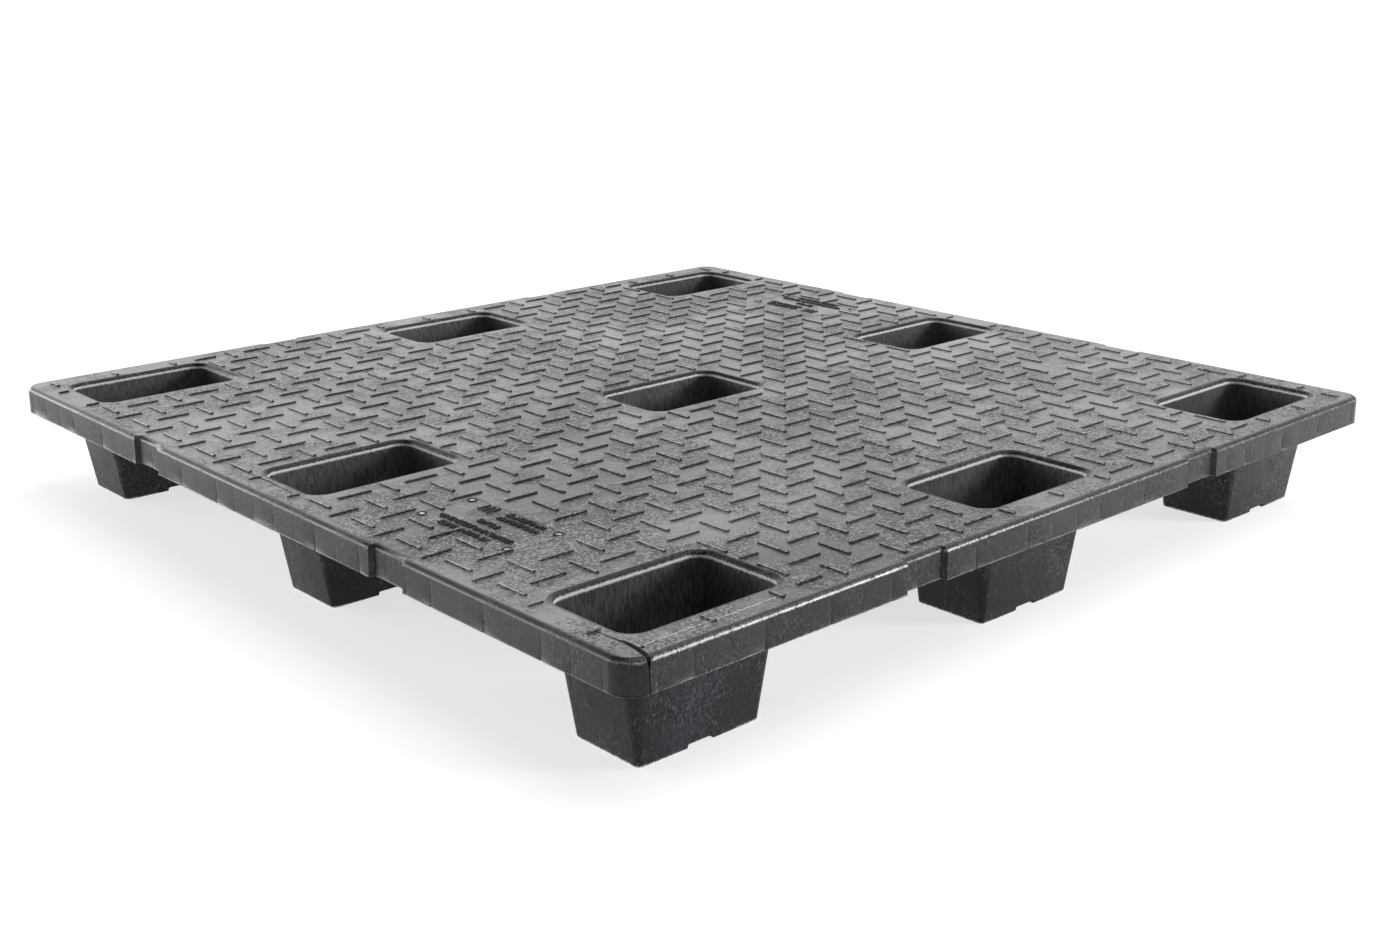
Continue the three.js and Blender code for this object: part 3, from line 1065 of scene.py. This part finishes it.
LEFT_KNIT_X = -579.5
FRONT_KNIT_Y = -586.0
LEFT_GROOVE = left_groove()
NOTCH = [
    ((-582.2, -536.0, TOP), UP, 0.8, -0.6),
    ((-582.0, -554.6, TOP), UP, 1.4, -1.3),
    ((-580.0, -569.7, TOP), UP, 2.0, -1.9),
    ((-580.4, -583.2, TOP), UP, 2.9, -2.6),
    ((-582.7, -598.8, TOP), UP, 3.6, -3.1),
    ((-585.0, -607.2, TOP - 1.6), ROUND_OUT, 2.4, -2.5),
    ((-585.6, -609.1, TOP - 9.0), OUT_FRONT, 1.3, -2.0),
    ((-585.3, -609.2, TOP - 20.0), OUT_FRONT, 1.1, -1.8),
    ((-585.0, -609.4, RIM_LOW - 2.0), OUT_FRONT, 1.0, -1.6),
]
cut(three_sided("groove_cutter", LEFT_GROOVE, 0.6, deck_plastic), deck)
# the groove's cut faces are painted dark: painted shade
paint_groove_shade(deck, LEFT_GROOVE)
by_name = {piece.name: piece for piece, _, _ in made}
notched = (deck, by_name["corner_front_left_face"], by_name["rim_front_face"])
cut(three_sided("notch_cutter", NOTCH, 0.8, deck_plastic), *notched)
# the notch's cut faces are painted dark too: painted shade
for piece in notched:
    paint_groove_shade(piece, NOTCH)
    report(piece)

# %% The ridge along the front edge
ridge_path = []
for x in range(-578, -400, 2):
    point = (x, FRONT_KNIT_Y + 0.5 * math.sin(x / 23), TOP)
    ridge_path.append((point, UP, 0.9, 0.15 + 0.45 * math.sin(x / 3.1) ** 2))
ridge = three_sided("knit_ridge", ridge_path, -0.1, deck_plastic)
report(ridge)

# %% [markdown]
# ## The two panels
# Near two opposite corners the bars leave room for a panel. On the real pallet an insert in the
# mould prints four screw heads, the outline of the insert and a few rows of raised marks there.
# The marks here are plain ticks with no meaning, laid out in rows by a tree with a fixed seed,
# and three plain blocks. The second panel is the same tree turned by half a turn.

# %% The panel tree
PANEL = {
    "Centre X": 0.0,
    "Centre Y": 0.0,
    "Turn": 0.0,
    "Width": 75.6 * MM,
    "Length": 155.0 * MM,
    "Line": 0.7 * MM,
    "Line height": 0.5 * MM,
    "Screw X": 31.0 * MM,
    "Screw Y": 72.0 * MM,
    "Screw radius": 4.9 * MM,
    "Tick spacing": 4.3 * MM,
    "Tick length": 7.4 * MM,
    "Tick width": 1.3 * MM,
    "Tick height": 1.5 * MM,
    "Deck": TOP * MM,
    "Seed": 7,
}
TICK_ROWS = [(30, 14, -50), (18, 12, -54), (-1, 20, -16), (-18, 64, -60), (-31, 42, -40)]
TICK_LAYERS = [  # turn, greatest length, share kept and shift in X of the ticks over each other
    (0.0, 1.0, 0.92, 0.0),
    (math.pi / 2, 0.45, 0.6, 2.9),
    (math.pi / 2, 0.5, 0.55, -2.9),
]
TICK_CHAMFER = 0.3 * MM
TICK_PAINTED_SHADE = 0.88


def circle(tree, resolution, radius):
    sockets = {"Resolution": resolution, "Radius": radius}
    return tree.add("GeometryNodeCurvePrimitiveCircle", values=sockets)


def screw_print(tree, radius):
    """The print of a screw head: a ring painted dark as shade round a low dome painted pale as a
    highlight.
    """
    path, tube = circle(tree, 20, radius), circle(tree, 6, radius * 0.2)
    ring = tree.add("GeometryNodeCurveToMesh", values={0: path, 1: tube})
    flat = {0: ball(tree, 14, 7, radius * 0.62), "Scale": (1.0, 1.0, 0.28)}
    dome = tree.add("GeometryNodeTransform", values=flat)
    # painted shade on the ring, a painted highlight on the dome
    both = [marked(tree, ring, "grime", 0.9), marked(tree, dome, "edge", 0.8)]
    return tree.add("GeometryNodeJoinGeometry", values={0: both})


def panel_group():
    tree, size = new_group("panel_print", PANEL)
    line = size["Line"]
    height = size["Line height"] + SUNK
    parts = []
    for ends, span, turn in (("Width", "Length", math.pi / 2), ("Length", "Width", 0.0)):
        block = chamfered_block(tree, size[span], line, height, line * 0.2)
        block = marked(tree, block, "edge", 0.5)
        away = size[ends] * 0.5
        start, step = (-1.0 * away, 0.0), (away * 2.0, 0.0)
        if not turn:
            start, step = start[::-1], step[::-1]
        rows = points_row(tree, 2, start, step)
        parts.append(place_on(tree, rows, block, turn))
    screw = screw_print(tree, size["Screw radius"])
    for side in (-1.0, 1.0):
        start = (size["Screw X"] * side, size["Screw Y"] * -1.0, SUNK)
        pair = points_row(tree, 2, start, (0.0, size["Screw Y"] * 2.0))
        parts.append(place_on(tree, pair, screw))

    tall = size["Tick height"] + SUNK
    long, wide = size["Tick length"], size["Tick width"]
    tick = chamfered_block(tree, long, wide, tall, TICK_CHAMFER)
    # the ticks, and the three blocks below, are painted dark: painted shade on raised marks of the
    # same plastic
    tick = marked(tree, tick, "grime", TICK_PAINTED_SHADE)
    spacing = size["Tick spacing"]
    for number, (x, high, down) in enumerate(TICK_ROWS):
        count = ((high - down) * MM / spacing).floor()
        for layer, (turn, longest, share, shift) in enumerate(TICK_LAYERS):
            seed = size["Seed"] + float(number * 10 + layer)
            start = (x * MM + shift * MM, down * MM + (0.5 * layer) * MM, 0.0)
            row = points_row(tree, count, start, (0.0, spacing))
            stretch = random_number(tree, 0.55 * longest, longest, seed)
            kept = random_number(tree, 0.0, 1.0, seed + 5.0) < share
            parts.append(place_on(tree, row, tick, turn, (stretch, 1.0, 1.0), kept))
    mark = chamfered_block(tree, long * 2.2, wide * 2.0, tall, TICK_CHAMFER)
    mark = marked(tree, mark, "grime", TICK_PAINTED_SHADE)
    trio = points_row(tree, 3, (26.0 * MM, 28.0 * MM), (0.0, 8.0 * MM))
    parts.append(place_on(tree, trio, mark))

    whole = tree.add("GeometryNodeJoinGeometry", values={0: parts})
    sockets = {
        0: real(tree, whole),
        "Translation": tree.join(size["Centre X"], size["Centre Y"], size["Deck"] - SUNK),
        "Rotation": turn_about_z(tree, size["Turn"]),
    }
    return close_group(tree, tree.add("GeometryNodeTransform", values=sockets), size)


# %% Both panels
panel_tree = panel_group()
panels = []
for side, name in ((-1, "panel_print_left"), (1, "panel_print_right")):
    where = {"Centre X": side * BARS["Panel X"], "Centre Y": side * BARS["Panel Y"]}
    where["Turn"] = 0.0 if side < 0 else math.pi
    panels.append(grown(name, panel_tree, {**PANEL, **where}, deck_plastic))

# %% [markdown]
# ## Pips
# Here and there a small pip stands on the deck, where a pore in the mould filled. Points on a
# grid are moved at random and all but a few are dropped, again with a fixed seed.

# %% The pip tree
PIPS = {
    "Spread": 1120.0 * MM,
    "Cells": 24,
    "Share": 0.13,
    "Radius": 1.5 * MM,
    "Deck": TOP * MM,
    "Seed": 3,
}
MOUTH_ROOM = {"x": 0.14, "y": 0.10}  # no pip this near to the middle of a mouth, in metres


def pips_group():
    tree, size = new_group("pips", PIPS)
    cells, spread = size["Cells"], size["Spread"]
    grid = points_grid(tree, spread, cells)
    x, y, _ = position(tree)
    seed, room = size["Seed"] + 0.0, spread / cells * 0.4
    shift_x = random_number(tree, room * -1.0, room, seed)
    shift_y = random_number(tree, room * -1.0, room, seed + 1.0)
    moved = tree.join(shift_x, shift_y, size["Deck"])
    spots = tree.add("GeometryNodeSetPosition", values={0: grid, "Offset": moved})
    pitch_x, pitch_y = LEG_PITCH["x"] * MM, LEG_PITCH["y"] * MM
    beside_x = abs(x - round(x / pitch_x) * pitch_x) < MOUTH_ROOM["x"]
    beside_y = abs(y - round(y / pitch_y) * pitch_y) < MOUTH_ROOM["y"]
    over_mouth = beside_x * beside_y
    kept = (random_number(tree, 0.0, 1.0, seed + 2.0) < size["Share"]) * (1 - over_mouth)
    scale = random_number(tree, 0.5, 1.3, seed + 3.0)
    pip = ball(tree, 8, 5, size["Radius"])
    pips = place_on(tree, spots, pip, 0.0, (scale, scale, scale * 0.5), kept)
    return close_group(tree, pips, size)


pips = grown("pips", pips_group(), PIPS, deck_plastic)

# %% [markdown]
# ## The studio
# The pallet stands on a plain pale floor under soft lights, and the camera looks down at the
# front-left corner. Black plastic shows mostly what it mirrors, so the sky is drawn with care:
# bright low down behind the pallet, brighter still at the back left, and dark overhead. None
# of this is part of the object.

# %% Floor
PAPER = {
    "Base Color": (0.45, 0.45, 0.45, 1.0),
    "Roughness": 0.9,
    "Emission Color": (1.0, 1.0, 1.0, 1.0),
    "Emission Strength": 0.70,  # keeps the floor white out to the horizon
}


def add_floor(reach):
    """A square sheet of glowing paper that reaches this many metres each way."""
    material = bpy.data.materials.new("floor_paper")
    material.use_nodes = True
    tree = Tree(material.node_tree)
    shader = tree.add("ShaderNodeBsdfPrincipled", values=PAPER)
    tree.add("ShaderNodeOutputMaterial", values={"Surface": shader})
    mesh = bpy.data.meshes.new("floor")
    corners = [(-reach, -reach, 0), (reach, -reach, 0), (reach, reach, 0), (-reach, reach, 0)]
    mesh.from_pydata(corners, [], [(0, 1, 2, 3)])
    mesh.materials.append(material)
    return object_from("floor", mesh)


floor = add_floor(reach=60.0)

# %% Lights
def direction(azimuth, elevation):
    """The unit vector towards a place in the sky, in degrees. Azimuth 0 is in front, at -Y."""
    a, e = math.radians(azimuth), math.radians(elevation)
    return Vector((math.sin(a) * math.cos(e), -math.cos(a) * math.cos(e), math.sin(e)))


def add_light(name, kind, energy, facing, **settings):
    """A light that shines along facing, with the settings of its kind."""
    light = bpy.data.lights.new(name, kind)
    light.energy = energy
    for label, value in settings.items():
        setattr(light, label, value)
    lamp = object_from(name, light)
    lamp.rotation_euler = facing.to_track_quat("-Z", "Y").to_euler()
    return lamp


wide = math.radians(60)  # a disc of sky this wide, so that its shadows are soft
add_light("overhead", "SUN", 1.9, -direction(azimuth=70, elevation=66), angle=wide)
panel, aim = Vector((2.2, -2.9, 1.0)), Vector((-0.2, -0.5, 0.10))
size = {"shape": "RECTANGLE", "size": 1.0, "size_y": 0.7}
add_light("front_right_soft", "AREA", 75, aim - panel, **size).location = panel

# %% Sky
world = bpy.data.worlds.new("studio")
world.use_nodes = True
air = Tree(world.node_tree)
east, north, up = air.split(air.add("ShaderNodeTexCoord").out("Generated"))
overhead = ramp(air, up, 0.26, 0.52)
haze = 0.45 + 0.55 * ramp(air, up, 0.08, 0.30)
behind = ramp(air, east * 0.20 + north * 0.98, -0.3, 1.0) * haze
low = 1.0 - ramp(air, up, 0.06, 0.30)
left_back = ramp(air, north * 0.93 - east * 0.37, 0.68, 0.98) * low
strength = (1.0 - 0.86 * overhead) * (0.30 + 2.6 * behind + 10.0 * left_back)
glow = air.add("ShaderNodeBackground", values={"Color": (1, 1, 1, 1), "Strength": strength})
air.add("ShaderNodeOutputWorld", values={"Surface": glow})
bpy.context.scene.world = world
bpy.context.scene.view_settings.view_transform = "Standard"

# %% Camera
def add_camera(azimuth, elevation, roll, aim, distance, lens):
    """A camera that looks at aim from a direction and distance. Angles are in degrees."""
    back = direction(azimuth, elevation)
    camera = bpy.data.cameras.new("camera")
    camera.lens = lens
    eye = object_from("camera", camera)
    eye.rotation_mode = "QUATERNION"
    facing = (-back).to_track_quat("-Z", "Y")
    eye.rotation_quaternion = facing @ Quaternion((0, 0, 1), math.radians(roll))
    eye.location = Vector(aim) + back * distance
    bpy.context.scene.camera = eye


add_camera(
    azimuth=-42.58,
    elevation=17.41,
    roll=-0.19,
    aim=(-0.20027, -0.25071, 0.1335),
    distance=1.87922,
    lens=43.83,
)

# %% [markdown]
# ## Riding on the body
# Every piece rides on the one body of the pallet, and each CAD node that a piece stands for is
# hidden.

# %% Ride and replace
for piece, node, slot in made:
    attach(piece, "root")
    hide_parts(node)
for piece in (bars, ridge, pips, *panels):
    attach(piece, "root")
